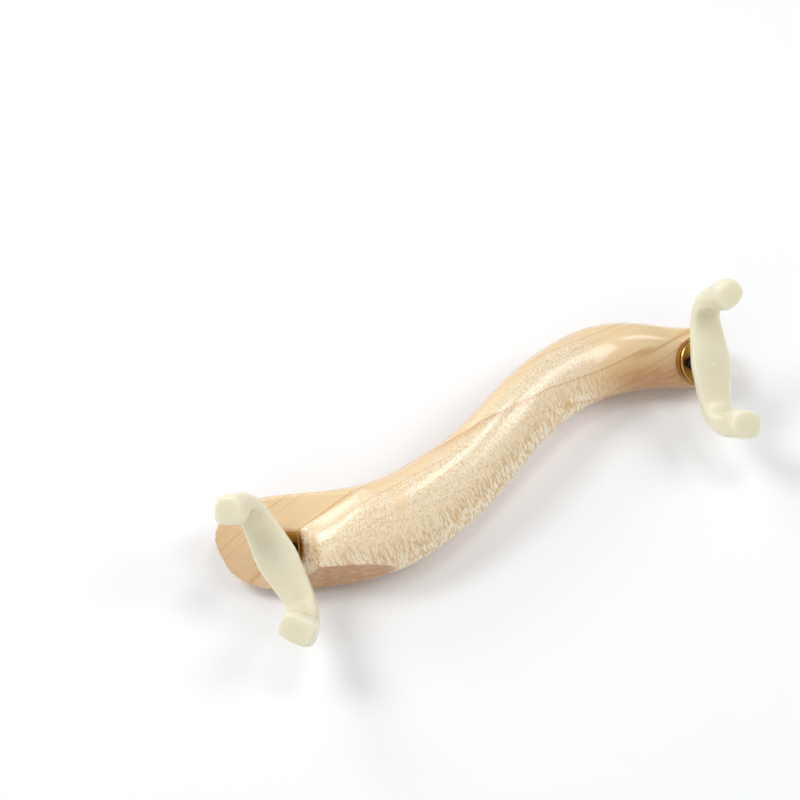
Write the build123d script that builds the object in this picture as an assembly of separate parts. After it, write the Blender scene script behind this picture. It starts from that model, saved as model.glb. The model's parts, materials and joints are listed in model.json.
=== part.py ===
from build123d import *
import os
from math import cos, pi, radians, sin, sqrt, tan

os.makedirs("parts", exist_ok=True)

# ---------------------------------------------------------------------------
# Driving dimensions, in millimetres and degrees.
# The rest is drawn in its own frame: X runs from the left (wide) end to the
# right (narrow) end, Z points at the violin, and the origin is midway
# between the two stud holes in use. table_pose() then lays it on a table.
# ---------------------------------------------------------------------------
STUD_SPAN = 164.7
TABLE_ROLL = 32.9
TABLE_TILT = 0.05

# Wooden body: hand-set curves along X, each a list of (x, value).
TIP_LEFT = -107.0
TIP_RIGHT = 98.8
CAP_LEFT = 23.0
CAP_RIGHT = 13.0
CENTRE_Y = [(-106, 7.0), (-95, 5.5), (-75, -0.2), (-60, -4.4), (-45, -6.6), (-30, -5.2), (-15, -2.4),
            (0, 3.0), (15, 9.0), (30, 13.0), (45, 14.2), (62, 11.8), (75, 6.6), (86, 1.2), (99, -1.6)]
HALF_WIDTH = [(-106, 17.6), (-75, 18.3), (-45, 16.6), (-5, 14.8), (35, 13.4), (65, 13.8), (86, 12.0),
              (99, 12.0)]
CREST_Z = [(-106, 2.0), (-90, 5.0), (-75, 9.0), (-60, 12.4), (-40, 13.6), (-20, 12.0), (0, 9.0),
           (20, 4.6), (40, -1.6), (58, -5.4), (70, -4.6), (82, -3.0), (99, -4.6)]
BACK_Z = [(-106, -19.5), (-95, -19.0), (-82, -18.0), (-70, -16.6), (-58, -13.0), (-40, -8.6), (-20, -7.6),
          (0, -9.5), (20, -13.6), (40, -20.2), (58, -26.4), (70, -24.2), (84, -20.4), (99, -19.0)]
EDGE_Z = [(-106, -12.5), (-95, -10.5), (-82, -7.0), (-60, -0.5), (-40, 2.4), (-20, 1.6), (0, -0.4),
          (20, -4.0), (40, -9.4), (58, -14.6), (70, -13.4), (82, -10.4), (99, -10.4)]
END_TWIST = 5.7
CREST_FULLNESS = 2.2
BACK_FULLNESS = 2.8
SECTION_POINTS = 24
MIDDLE_SECTIONS = 13
CAP_SECTIONS = 6
CAP_END = 0.994

# Stud seats: the direction in which each stud stands out of the body.
LEFT_LEAN_OUT = 30.0
LEFT_LEAN_SIDE = 2.6
RIGHT_LEAN_OUT = 10.3
RIGHT_LEAN_SIDE = 5.7

# Left plate: a rectangle let into the cut-away pad.
LEFT_HOLE_SPACING = 11.6
LEFT_PLATE_LENGTH = 17.4
LEFT_PLATE_WIDTH = 11.8
LEFT_PLATE_THICK = 2.2
LEFT_PLATE_PROUD = 1.2
LEFT_PLATE_TURN = -21.8
LEFT_PLATE_BEVEL = 0.5
PAD_WALL_GAP = 0.35
PAD_WALL_SLOPE = 35.0

# Facets beside the nose of the bulge, each a plane through hand-set corners.
UPPER_FACET_START = (-79.0, 4.7, 0.6)
UPPER_FACET_FADE = (-50.0, 9.0, 7.3)
UPPER_FACET_EDGE = (-80.0, 18.0, -4.0)
UPPER_WALL_SLOPE = 30.0
LOWER_FACET_CORNER = (-75.0, -10.0, 7.6)
LOWER_FACET_NORMAL = (-0.388, -0.774, 0.501)

# Right plate: a disc let into the narrow end.
RIGHT_HOLE_SPACING = 10.0
RIGHT_PLATE_DIAMETER = 19.2
RIGHT_PLATE_THICK = 4.2
RIGHT_PLATE_PROUD = 3.0
RIGHT_PLATE_TURN = -16.2
RIGHT_PLATE_BEVEL = 0.8
RIGHT_SEAT_GAP = 0.3
RIGHT_SEAT_CLEAR = 20.0

# M4 thread, drawn as plain cylinders with a running clearance.
STUD_RADIUS = 2.0
THREAD_RADIUS = 2.05
BUSH_RADIUS = 3.2
BUSH_LENGTH = 7.0
BLIND_RADIUS = 2.4
BLIND_DEPTH = 11.5
STUD_ENGAGED = 7.5
STUD_TIP_CHAMFER = 0.5
STUD_IN_HUB = 5.0

# Fork: a rubber crosspiece with two claws, moulded over a stiff core.
FORK_REACH = 17.0
FORK_THICK = 6.0
LEFT_FORK_TURN = 94.4
RIGHT_FORK_TURN = 73.7
LEFT_CROSSPIECE_SHIFT = 0.7
RIGHT_CROSSPIECE_SHIFT = 0.9
# Half of the crosspiece, from the middle to the neck of a claw. Each row holds
# (along, forward of the front face, width, thickness, slope, share of the way to the pad).
FORK_HALF = [
    (0.0, -3.0, 15.2, 6.0, 0.0, 0.0),
    (4.5, -3.0, 14.4, 6.0, -1.0, 0.0),
    (8.5, -3.3, 13.4, 6.0, -4.0, 0.0),
    (13.0, -3.55, 12.0, 6.2, -2.0, 0.0),
    (17.0, -3.2, 10.9, 6.6, 13.0, 0.05),
    (20.6, -1.0, 10.5, 7.2, 40.0, 0.15),
    (23.0, 2.4, 10.6, 7.8, 64.0, 0.3),
    (24.2, 6.0, 10.8, 8.3, 82.0, 0.45),
]
# Pads at the tips of the claws: (along, across, width, thickness, twist).
LEFT_UPPER_PAD = (22.9, 1.6, 11.4, 11.2, -26.0)
LEFT_LOWER_PAD = (-24.8, 0.2, 14.2, 10.8, -50.0)
RIGHT_UPPER_PAD = (24.4, -0.8, 11.6, 11.0, 35.0)
RIGHT_LOWER_PAD = (-22.9, -1.2, 13.0, 10.8, -19.0)
# How a claw grows from its neck into its pad: (share of the way, forward, scale).
PAD_RISE = [
    (0.7, 8.6, 0.95),
    (0.95, 10.8, 1.0),
    (1.0, 12.8, 0.98),
    (1.0, 14.1, 0.94),
    (1.0, 14.8, 0.85),
]
SECTION_CORNER = 0.32
SECTION_FLARE = 0.085
DIMPLE_RADIUS = 1.0
DIMPLE_DEPTH = 0.35
CORE_LENGTH = 34.0
CORE_WIDTH = 8.0
CORE_THICK = 1.8
CORE_BACK = 4.2
HUB_RADIUS = 4.6
HUB_HEIGHT = 3.5
HUB_END_GAP = 0.3
NECK_RADIUS = 3.4

# Reach of the cutting shapes, larger than the rest.
BIG = 120.0


# ---------------------------------------------------------------------------
# Helpers
# ---------------------------------------------------------------------------
def slope_at(points, i):
    """Slope of a hand-set curve at its point i."""
    before = points[max(i - 1, 0)]
    after = points[min(i + 1, len(points) - 1)]
    return (after[1] - before[1]) / (after[0] - before[0])


def curve(points, x):
    """Smooth value at x of a hand-set curve (cubic Hermite)."""
    i = max(k for k in range(len(points) - 1) if points[k][0] <= max(x, points[0][0]))
    x0, v0 = points[i]
    x1, v1 = points[i + 1]
    step = x1 - x0
    t = (x - x0) / step
    rise0 = slope_at(points, i) * step
    rise1 = slope_at(points, i + 1) * step
    return (v0 * (2 * t**3 - 3 * t**2 + 1) + rise0 * (t**3 - 2 * t**2 + t)
            + v1 * (3 * t**2 - 2 * t**3) + rise1 * (t**3 - t**2))


def power(value, exponent):
    """Signed power, which shapes a superellipse."""
    return (1 if value >= 0 else -1) * abs(value) ** exponent


def seat(side, turn):
    """Place on a plate's face: origin at the stud hole in use, Z along the stud, X turned from rightwards."""
    lean_out, lean_side = (LEFT_LEAN_OUT, LEFT_LEAN_SIDE) if side < 0 else (RIGHT_LEAN_OUT, RIGHT_LEAN_SIDE)
    stud = Vector(side * tan(radians(lean_out)), -side * tan(radians(lean_side)), 1)
    plane = Plane(origin=(side * STUD_SPAN / 2, 0, 0), x_dir=(1, 0, 0), z_dir=stud)
    return plane.location * Rot(0, 0, turn)


LEFT_PLATE_SEAT = seat(-1, LEFT_PLATE_TURN)
RIGHT_PLATE_SEAT = seat(1, RIGHT_PLATE_TURN)
LEFT_FORK_SEAT = seat(-1, LEFT_FORK_TURN)
RIGHT_FORK_SEAT = seat(1, RIGHT_FORK_TURN)


def rod(radius, bottom, top):
    """Upright cylinder between two heights."""
    return Pos(0, 0, (bottom + top) / 2) * Cylinder(radius, top - bottom)


def hole_offsets(side):
    """Where a plate's two holes are along its own X: the one in use, then the spare."""
    return (0.0, -LEFT_HOLE_SPACING) if side < 0 else (0.0, RIGHT_HOLE_SPACING)


# ---------------------------------------------------------------------------
# Wooden body
# ---------------------------------------------------------------------------
def cap_factor(x):
    """How far the section has shrunk inside a rounded end: 1 in the middle, 0 at the tip."""
    into_left = (TIP_LEFT + CAP_LEFT - x) / CAP_LEFT
    into_right = (x - TIP_RIGHT + CAP_RIGHT) / CAP_RIGHT
    into = max(into_left, into_right, 0.0)
    return sqrt(max(1 - into**2, 0.0))


def body_section(x):
    """Closed cross-section of the wood at x, as a face."""
    shrink = cap_factor(x)
    half_width = curve(HALF_WIDTH, x) * shrink
    edge = curve(EDGE_Z, x)
    crest = (curve(CREST_Z, x) - edge) * shrink
    back = (edge - curve(BACK_Z, x)) * shrink
    points = []
    for k in range(SECTION_POINTS):
        angle = 2 * pi * k / SECTION_POINTS
        upper = sin(angle) >= 0
        height = crest if upper else back
        fullness = CREST_FULLNESS if upper else BACK_FULLNESS
        across = half_width * power(cos(angle), 2 / fullness)
        points.append((across, height * power(sin(angle), 2 / fullness)))
    outline = Spline(*points, periodic=True)
    twist = END_TWIST * max(-1, min(1, 2 * x / STUD_SPAN))
    station = Plane(origin=(x, curve(CENTRE_Y, x), edge), x_dir=(0, 1, 0), z_dir=(1, 0, 0))
    return station * Rot(0, 0, twist) * make_face(outline)


def body_stations():
    """Section places along X, closer together inside the rounded ends."""
    angles = [radians(90) * k / CAP_SECTIONS for k in range(CAP_SECTIONS)]
    left_cap = [TIP_LEFT + CAP_LEFT * (1 - CAP_END * cos(a)) for a in angles]
    right_cap = [TIP_RIGHT - CAP_RIGHT * (1 - CAP_END * cos(a)) for a in reversed(angles)]
    start = TIP_LEFT + CAP_LEFT
    length = TIP_RIGHT - CAP_RIGHT - start
    middle = [start + length * k / (MIDDLE_SECTIONS - 1) for k in range(MIDDLE_SECTIONS)]
    return left_cap + middle + right_cap


def pad_cutter():
    """Space above the flat pad of the left plate, with the sloping wall at its right."""
    floor = -LEFT_PLATE_PROUD
    wall = (LEFT_PLATE_LENGTH - LEFT_HOLE_SPACING) / 2 + PAD_WALL_GAP
    run = BIG / tan(radians(PAD_WALL_SLOPE))
    top = floor + BIG
    profile = Polyline((-BIG, floor), (wall, floor), (wall + run, top), (-BIG, top), close=True)
    across = Plane(origin=(0, BIG / 2, 0), x_dir=(1, 0, 0), z_dir=(0, -1, 0))
    return LEFT_PLATE_SEAT * (across * extrude(make_face(profile), BIG))


def upper_facet_cutter():
    """Space above the facet between the nose and the upper edge, with a sloping wall at the nose."""
    start, fade, edge = (Vector(p) for p in (UPPER_FACET_START, UPPER_FACET_FADE, UPPER_FACET_EDGE))
    along = (fade - start).normalized()
    normal = along.cross(edge - start).normalized()
    run = BIG / tan(radians(UPPER_WALL_SLOPE))
    profile = Polyline((0, 0), (BIG, 0), (BIG, BIG), (-run, BIG), close=True)
    across = Plane(origin=start - along * BIG, x_dir=normal.cross(along), z_dir=along)
    return across * extrude(make_face(profile), 2 * BIG)


def lower_facet_cutter():
    """Space beyond the flat facet along the lower edge of the left end."""
    plane = Plane(origin=LOWER_FACET_CORNER, z_dir=LOWER_FACET_NORMAL)
    return plane * Box(2 * BIG, 2 * BIG, BIG, align=(Align.CENTER, Align.CENTER, Align.MIN))


def plate_pocket(side):
    """Recess for a plate."""
    if side < 0:
        sketch = Pos(-LEFT_HOLE_SPACING / 2, 0) * Rectangle(LEFT_PLATE_LENGTH, LEFT_PLATE_WIDTH)
        return LEFT_PLATE_SEAT * Pos(0, 0, -LEFT_PLATE_THICK) * extrude(sketch, LEFT_PLATE_THICK)
    sketch = Pos(RIGHT_HOLE_SPACING / 2, 0) * Circle(RIGHT_PLATE_DIAMETER / 2)
    return RIGHT_PLATE_SEAT * Pos(0, 0, -RIGHT_PLATE_THICK) * extrude(sketch, RIGHT_PLATE_THICK)


def seat_cutter():
    """Space above the flat seat round the right disc."""
    clear = rod(RIGHT_PLATE_DIAMETER / 2 + RIGHT_SEAT_GAP, -RIGHT_PLATE_PROUD, RIGHT_SEAT_CLEAR)
    return RIGHT_PLATE_SEAT * Pos(RIGHT_HOLE_SPACING / 2, 0, 0) * clear


def bush_pockets(side, plate_thick):
    """Blind holes in the wood for a plate's two bushes and the stud's tip."""
    plane = LEFT_PLATE_SEAT if side < 0 else RIGHT_PLATE_SEAT
    holes = []
    for offset in hole_offsets(side):
        bush = rod(BUSH_RADIUS, -plate_thick - BUSH_LENGTH, -plate_thick)
        blind = rod(BLIND_RADIUS, -BLIND_DEPTH, -plate_thick)
        holes.append(plane * Pos(offset, 0, 0) * (bush + blind))
    return holes


def body_wood():
    """The carved maple bar."""
    bar = loft([body_section(x) for x in body_stations()])
    bar -= pad_cutter()
    bar -= upper_facet_cutter()
    bar -= lower_facet_cutter()
    bar -= seat_cutter()
    bar -= plate_pocket(-1)
    bar -= plate_pocket(1)
    for hole in bush_pockets(-1, LEFT_PLATE_THICK) + bush_pockets(1, RIGHT_PLATE_THICK):
        bar -= hole
    return bar


# ---------------------------------------------------------------------------
# Plates and bushes
# ---------------------------------------------------------------------------
def left_plate():
    """Rectangular brass plate with its two holes."""
    plate = Pos(-LEFT_HOLE_SPACING / 2, 0, -LEFT_PLATE_THICK) * Box(
        LEFT_PLATE_LENGTH, LEFT_PLATE_WIDTH, LEFT_PLATE_THICK, align=(Align.CENTER, Align.CENTER, Align.MIN))
    plate = chamfer(plate.faces().sort_by(Axis.Z)[-1].edges(), LEFT_PLATE_BEVEL)
    for offset in hole_offsets(-1):
        plate -= Pos(offset, 0, 0) * rod(THREAD_RADIUS, -LEFT_PLATE_THICK, 0)
    return LEFT_PLATE_SEAT * plate


def right_plate():
    """Brass disc with its two holes."""
    disc = Pos(RIGHT_HOLE_SPACING / 2, 0, 0) * rod(RIGHT_PLATE_DIAMETER / 2, -RIGHT_PLATE_THICK, 0)
    disc = chamfer(disc.faces().sort_by(Axis.Z)[-1].edges(), RIGHT_PLATE_BEVEL)
    for offset in hole_offsets(1):
        disc -= Pos(offset, 0, 0) * rod(THREAD_RADIUS, -RIGHT_PLATE_THICK, 0)
    return RIGHT_PLATE_SEAT * disc


def bush(side, offset):
    """Threaded brass bush behind a plate hole."""
    plane = LEFT_PLATE_SEAT if side < 0 else RIGHT_PLATE_SEAT
    top = -(LEFT_PLATE_THICK if side < 0 else RIGHT_PLATE_THICK)
    sleeve = rod(BUSH_RADIUS, top - BUSH_LENGTH, top) - rod(THREAD_RADIUS, top - BUSH_LENGTH, top)
    return plane * Pos(offset, 0, 0) * sleeve


# ---------------------------------------------------------------------------
# Fork
# ---------------------------------------------------------------------------
def fork_section(centre, width, thick, slope, end, twist, flare):
    """One rounded section of the fork, wider at its front by the flare; end is 1 or -1."""
    tangent = Vector(cos(radians(slope)), 0, end * sin(radians(slope)))
    across = Vector(-sin(radians(twist)), cos(radians(twist)), 0)
    front = width * (1 + flare) / 2
    back = width * (1 - flare) / 2
    half = thick / 2
    section = make_face(Polyline((-back, -half), (back, -half), (front, half), (-front, half), close=True))
    section = fillet(section.vertices(), thick * SECTION_CORNER)
    return Plane(origin=centre, x_dir=across - tangent * across.dot(tangent), z_dir=tangent) * section


def claw_sections(pad, end, shift):
    """Sections from the middle of a fork to a claw's tip."""
    pad_along, pad_across, pad_width, pad_thick, twist = pad
    sections = []
    for along, forward, width, thick, slope, share in FORK_HALF:
        x = end * along + (pad_along - end * along) * share
        y = shift + (pad_across - shift) * share
        flare = SECTION_FLARE * (1 - share)
        centre = (x, y, FORK_REACH + forward)
        sections.append(fork_section(centre, width, thick, slope, end, twist * share, flare))
    neck, _, neck_width, neck_thick, _, _ = FORK_HALF[-1]
    for share, forward, scale in PAD_RISE:
        x = end * neck + (pad_along - end * neck) * share
        y = shift + (pad_across - shift) * share
        width = scale * (neck_width + (pad_width - neck_width) * share)
        thick = scale * (neck_thick + (pad_thick - neck_thick) * share)
        flare = SECTION_FLARE * (1 - share)
        centre = (x, y, FORK_REACH + forward)
        sections.append(fork_section(centre, width, thick, 90, end, twist * share, flare))
    return sections


def fork_core(shift):
    """Stiff strip inside the rubber."""
    strip = SlotOverall(CORE_LENGTH, CORE_WIDTH)
    return Pos(0, shift, FORK_REACH - CORE_BACK) * extrude(strip, CORE_THICK)


def fork_hub():
    """Boss behind the crosspiece, with a neck through the rubber to the core."""
    back = FORK_REACH - FORK_THICK
    boss = rod(HUB_RADIUS, back - HUB_HEIGHT, back)
    neck = rod(NECK_RADIUS, back, FORK_REACH - CORE_BACK)
    hole = rod(THREAD_RADIUS, back - HUB_HEIGHT, back - HUB_HEIGHT + STUD_IN_HUB + HUB_END_GAP)
    return boss + neck - hole


def fork_stud():
    """Threaded stud from the hub into the plate and bush."""
    top = FORK_REACH - FORK_THICK - HUB_HEIGHT + STUD_IN_HUB
    stud = rod(STUD_RADIUS, -STUD_ENGAGED, top)
    return chamfer(stud.edges().sort_by(Axis.Z)[0], STUD_TIP_CHAMFER)


def fork_rubber(upper_pad, lower_pad, shift):
    """Rubber cover: crosspiece and two claws, hollow where the core and neck are."""
    lower = claw_sections(lower_pad, -1, shift)
    upper = claw_sections(upper_pad, 1, shift)
    cover = loft(lower[:0:-1] + upper)
    front = Pos(0, shift, FORK_REACH - DIMPLE_DEPTH)
    cover -= front * Cone(DIMPLE_RADIUS / 2, DIMPLE_RADIUS * 3 / 2, 2 * DIMPLE_DEPTH,
                          align=(Align.CENTER, Align.CENTER, Align.MIN))
    cover -= fork_core(shift)
    cover -= rod(NECK_RADIUS, 0, FORK_REACH - CORE_BACK)
    cover -= rod(HUB_RADIUS, 0, FORK_REACH - FORK_THICK)
    return cover


# ---------------------------------------------------------------------------
# Assembly
# ---------------------------------------------------------------------------
def build_nodes():
    """All sub-parts in the rest's own frame, by node name."""
    nodes = {
        "body_wood": body_wood(),
        "left_plate": left_plate(),
        "right_plate": right_plate(),
    }
    for name, side in (("left", -1), ("right", 1)):
        inner, outer = hole_offsets(side)
        nodes[f"{name}_inner_bush"] = bush(side, inner)
        nodes[f"{name}_outer_bush"] = bush(side, outer)
    for name, place, pads, shift in (
            ("left", LEFT_FORK_SEAT, (LEFT_UPPER_PAD, LEFT_LOWER_PAD), LEFT_CROSSPIECE_SHIFT),
            ("right", RIGHT_FORK_SEAT, (RIGHT_UPPER_PAD, RIGHT_LOWER_PAD), RIGHT_CROSSPIECE_SHIFT)):
        nodes[f"{name}_fork_rubber"] = place * fork_rubber(*pads, shift)
        nodes[f"{name}_fork_core"] = place * fork_core(shift)
        nodes[f"{name}_fork_hub"] = place * fork_hub()
        nodes[f"{name}_fork_stud"] = place * fork_stud()
    return nodes


def table_pose(nodes):
    """Location that lays the rest on the table with the origin under its middle."""
    turn = Rot(0, -TABLE_TILT, 0) * Rot(TABLE_ROLL, 0, 0)
    box = Compound(children=[turn * shape for shape in nodes.values()]).bounding_box()
    return Pos(-box.center().X, -box.center().Y, -box.min.Z) * turn


def main():
    nodes = build_nodes()
    pose = table_pose(nodes)
    for name, shape in nodes.items():
        export_step(pose * shape, f"parts/{name}.step")


if __name__ == "__main__":
    main()
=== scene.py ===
import json
import math

import bmesh
import bpy
from bpy.props import FloatProperty, FloatVectorProperty, IntProperty, PointerProperty
from mathutils import Matrix, Quaternion, Vector


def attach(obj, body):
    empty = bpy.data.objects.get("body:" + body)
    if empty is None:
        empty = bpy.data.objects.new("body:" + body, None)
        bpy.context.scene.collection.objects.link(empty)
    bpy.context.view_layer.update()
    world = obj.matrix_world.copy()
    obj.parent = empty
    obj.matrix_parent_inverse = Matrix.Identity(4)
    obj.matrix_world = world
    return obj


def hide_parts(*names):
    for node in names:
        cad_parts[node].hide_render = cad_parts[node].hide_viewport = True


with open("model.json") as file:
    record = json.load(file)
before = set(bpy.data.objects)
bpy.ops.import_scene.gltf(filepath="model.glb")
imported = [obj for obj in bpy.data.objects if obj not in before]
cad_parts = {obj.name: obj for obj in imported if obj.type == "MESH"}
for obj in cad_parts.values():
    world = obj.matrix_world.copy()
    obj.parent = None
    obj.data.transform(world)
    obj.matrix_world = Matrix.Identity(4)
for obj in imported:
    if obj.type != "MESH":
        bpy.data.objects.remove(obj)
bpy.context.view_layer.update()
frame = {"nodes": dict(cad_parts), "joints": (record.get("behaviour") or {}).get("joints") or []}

bl_info = {
    "name": "Violin shoulder rest",
    "version": (1, 0, 0),
    "blender": (4, 5, 0),
    "location": "View3D > Sidebar > Shoulder rest",
    "description": "Carved maple shoulder rest for a violin, with rubber forks on threaded studs",
    "category": "Object",
}

MM = 0.001
# The rest lies on its back, rolled by this many degrees from having its studs upright.
REST_ROLL = 32.9

# Each side of the rest: the joint that gives its stud's line, and how its parts are turned
# about that line, in degrees from the length of the rest.
SIDES = {
    "left": {"joint": "left_fork_turn", "plate_turn": -21.8, "fork_turn": 94.4},
    "right": {"joint": "right_fork_turn", "plate_turn": -16.2, "fork_turn": 73.7},
}

# Half of a fork, from the middle of its crosspiece to the neck of a claw, in millimetres and
# degrees: (along, forward of the front face, width, thickness, slope, share of the way to the pad).
FORK_HALF = (
    (0.0, -3.0, 15.2, 6.0, 0.0, 0.0),
    (2.0, -3.0, 15.1, 6.0, -0.5, 0.0),
    (4.5, -3.02, 14.4, 6.0, -1.5, 0.0),
    (8.5, -3.3, 13.4, 6.0, -4.0, 0.0),
    (13.0, -3.55, 12.0, 6.2, -2.0, 0.0),
    (17.0, -3.2, 10.9, 6.6, 13.0, 0.05),
    (20.6, -1.0, 10.5, 7.2, 40.0, 0.15),
    (23.0, 2.4, 10.6, 7.8, 64.0, 0.3),
    (24.2, 6.0, 10.8, 8.3, 82.0, 0.45),
)
# Pads at the tips of the claws, upper then lower: (along, across, width, thickness, twist,
# squareness of the section).
CLAW_PADS = {
    "left": {1: (22.9, 1.6, 11.4, 11.2, -26.0, 4.6), -1: (-24.8, 0.2, 14.2, 10.8, -50.0, 4.2)},
    "right": {1: (24.4, -0.8, 11.6, 11.0, 35.0, 2.8), -1: (-22.9, -1.2, 13.0, 10.8, -19.0, 3.2)},
}
# How a claw grows from its neck into its pad: (share of the way, forward, scale).
PAD_RISE = (
    (0.7, 8.6, 0.95),
    (0.95, 10.8, 1.0),
    (1.0, 12.8, 0.98),
    (1.0, 14.1, 0.94),
    (1.0, 14.8, 0.85),
)
# How far a crosspiece's middle is from the stud's line.
CROSSPIECE_SHIFT = {"left": 0.7, "right": 0.9}
SECTION_SQUARENESS = 4.6
SECTION_FLARE = 0.085
FORK_REACH = 17.0
HUB_TOP = 11.0
HUB_BOTTOM = 7.5
STUD_TOP = 12.5
STUD_BOTTOM = -7.5


# ---------------------------------------------------------------------------
# Small helpers
# ---------------------------------------------------------------------------
def linear(code):
    """Linear RGB of an sRGB hex colour."""
    values = [int(code[i:i + 2], 16) / 255 for i in (0, 2, 4)]
    return tuple(v / 12.92 if v <= 0.04045 else ((v + 0.055) / 1.055) ** 2.4 for v in values)


def opaque(colour):
    """A colour property as the four numbers that a socket takes."""
    return (*colour, 1.0)


def add_node(tree, kind, inputs=None, **settings):
    """Adds a node with its settings; inputs are values, or other nodes' sockets to link."""
    node = tree.nodes.new(kind)
    for name, value in settings.items():
        setattr(node, name, value)
    for name, value in (inputs or {}).items():
        if isinstance(value, bpy.types.NodeSocket):
            tree.links.new(value, node.inputs[name])
        else:
            node.inputs[name].default_value = value
    return node


def new_material(name):
    """An empty node material with its output, as (material, tree, output)."""
    material = bpy.data.materials.new(name)
    material.use_nodes = True
    tree = material.node_tree
    tree.nodes.clear()
    return material, tree, add_node(tree, "ShaderNodeOutputMaterial")


def set_ramp(node, stops):
    """Sets a colour ramp's stops, each (position, grey value or colour)."""
    elements = node.color_ramp.elements
    while len(elements) > 1:
        elements.remove(elements[-1])
    for i, (position, value) in enumerate(stops):
        element = elements[0] if i == 0 else elements.new(position)
        element.position = position
        element.color = opaque(value) if isinstance(value, tuple) else (value, value, value, 1.0)


def need_node(name):
    """A CAD node's object, or an error that names it."""
    if name not in frame["nodes"]:
        raise RuntimeError(f"the frame has no node named {name}")
    return frame["nodes"][name]


def smoothstep(value, low, high):
    """0 below low, 1 above high, and smooth between."""
    t = min(max((value - low) / (high - low), 0.0), 1.0)
    return t * t * (3 - 2 * t)


def seat_matrix(side, turn):
    """Place on a plate's face: origin at the stud, Z along it, X turned from the rest's length."""
    joint = next(j for j in frame["joints"] if j["name"] == SIDES[side]["joint"])
    along = Vector(joint["axis"]).normalized()
    across = (Vector((1, 0, 0)) - along * along.x).normalized()
    across = Quaternion(along, math.radians(turn)) @ across
    rows = Matrix((across, along.cross(across), along)).transposed()
    return Matrix.Translation(joint["pos_m"]) @ rows.to_4x4() @ Matrix.Scale(MM, 4)


def rest_matrix():
    """The rest's own frame in millimetres: X along it, Z towards the violin, between its studs."""
    left, right = (Vector(next(j for j in frame["joints"] if j["name"] == data["joint"])["pos_m"])
                   for data in SIDES.values())
    along = (right - left).normalized()
    up = Quaternion((1, 0, 0), math.radians(REST_ROLL)) @ Vector((0, 0, 1))
    up = (up - along * along.dot(up)).normalized()
    rows = Matrix((along, up.cross(along), up)).transposed()
    return Matrix.Translation((left + right) / 2) @ rows.to_4x4() @ Matrix.Scale(MM, 4)


def finish_piece(bm, name, matrix, material, body, replaced, smooth_angle=None):
    """Turns a bmesh in local millimetres into a finished piece of the rest."""
    bmesh.ops.transform(bm, matrix=matrix, verts=bm.verts)
    bmesh.ops.recalc_face_normals(bm, faces=bm.faces)
    mesh = bpy.data.meshes.new(name)
    for face in bm.faces:
        face.smooth = True
    bm.to_mesh(mesh)
    bm.free()
    if smooth_angle is not None:
        mesh.set_sharp_from_angle(angle=math.radians(smooth_angle))
    mesh.materials.append(material)
    piece = bpy.data.objects.new(name, mesh)
    bpy.context.scene.collection.objects.link(piece)
    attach(piece, body)
    if replaced:
        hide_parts(*replaced)
    return piece


def with_modifier(bm, kind, **settings):
    """A new bmesh: the given one after a modifier. The given one is freed."""
    mesh = bpy.data.meshes.new("work")
    bm.to_mesh(mesh)
    bm.free()
    work = bpy.data.objects.new("work", mesh)
    bpy.context.scene.collection.objects.link(work)
    modifier = work.modifiers.new("work", kind)
    for key, value in settings.items():
        setattr(modifier, key, value)
    graph = bpy.context.evaluated_depsgraph_get()
    result = bpy.data.meshes.new_from_object(work.evaluated_get(graph))
    bm = bmesh.new()
    bm.from_mesh(result)
    bpy.data.objects.remove(work)
    bpy.data.meshes.remove(mesh)
    bpy.data.meshes.remove(result)
    return bm


# ---------------------------------------------------------------------------
# Settings that a user would change
# ---------------------------------------------------------------------------
class BodySettings(bpy.types.PropertyGroup):
    """Carved maple bar."""
    voxel: FloatProperty(name="Carving grid", description="Grid on which the carved wood is softened, in mm",
                         default=0.55, min=0.3, max=2.0)
    soften: IntProperty(name="Edge softening", description="Passes that round the carved edges",
                        default=5, min=0, max=60)
    nose_soften: IntProperty(name="Nose softening", description="Passes that round the nose of the bulge",
                             default=300, min=0, max=600)
    ring_gap: FloatProperty(name="Ring gap", description="Distance between growth lines, in mm",
                            default=4.6, min=1.0, max=12.0)
    pale: FloatVectorProperty(name="Pale wood", description="Colour of the wood between flecks",
                              subtype="COLOR", size=3, min=0, max=1, default=linear("f3e1bf"))
    # Painted shade in part: the warm colour also goes on the upper edge, where the surface turns away from
    # the light, and lightly on the left end.
    warm: FloatVectorProperty(name="Warm wood", description="Colour of the wood on the flat faces",
                              subtype="COLOR", size=3, min=0, max=1, default=linear("eecf9f"))
    # Painted shade: the dark colour goes on the underside, the lower sides, the left end and the bottom of
    # the right end, where less light falls; on the lower facet it is partly the wood's own darker cut.
    dark: FloatVectorProperty(name="Dark wood", description="Colour of the wood on the lower sides",
                              subtype="COLOR", size=3, min=0, max=1, default=linear("b97c3a"))
    fleck: FloatVectorProperty(name="Ray flecks", description="Colour of the medullary rays",
                               subtype="COLOR", size=3, min=0, max=1, default=linear("d29c48"))
    line: FloatVectorProperty(name="Growth line", description="Colour of the late wood",
                              subtype="COLOR", size=3, min=0, max=1, default=linear("c08440"))


class FittingSettings(bpy.types.PropertyGroup):
    """Plates, bushes and studs."""
    brass: FloatVectorProperty(name="Brass", description="Colour of the brass",
                               subtype="COLOR", size=3, min=0, max=1, default=linear("c9a45c"))
    steel: FloatVectorProperty(name="Blackened steel", description="Colour of the studs",
                               subtype="COLOR", size=3, min=0, max=1, default=linear("1d1c1b"))
    pitch: FloatProperty(name="Thread pitch", description="Pitch of the studs' thread, in mm",
                         default=0.7, min=0.3, max=1.5)
    thread_depth: FloatProperty(name="Thread depth", description="Depth of the studs' thread, in mm",
                                default=0.38, min=0.1, max=0.6)


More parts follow.
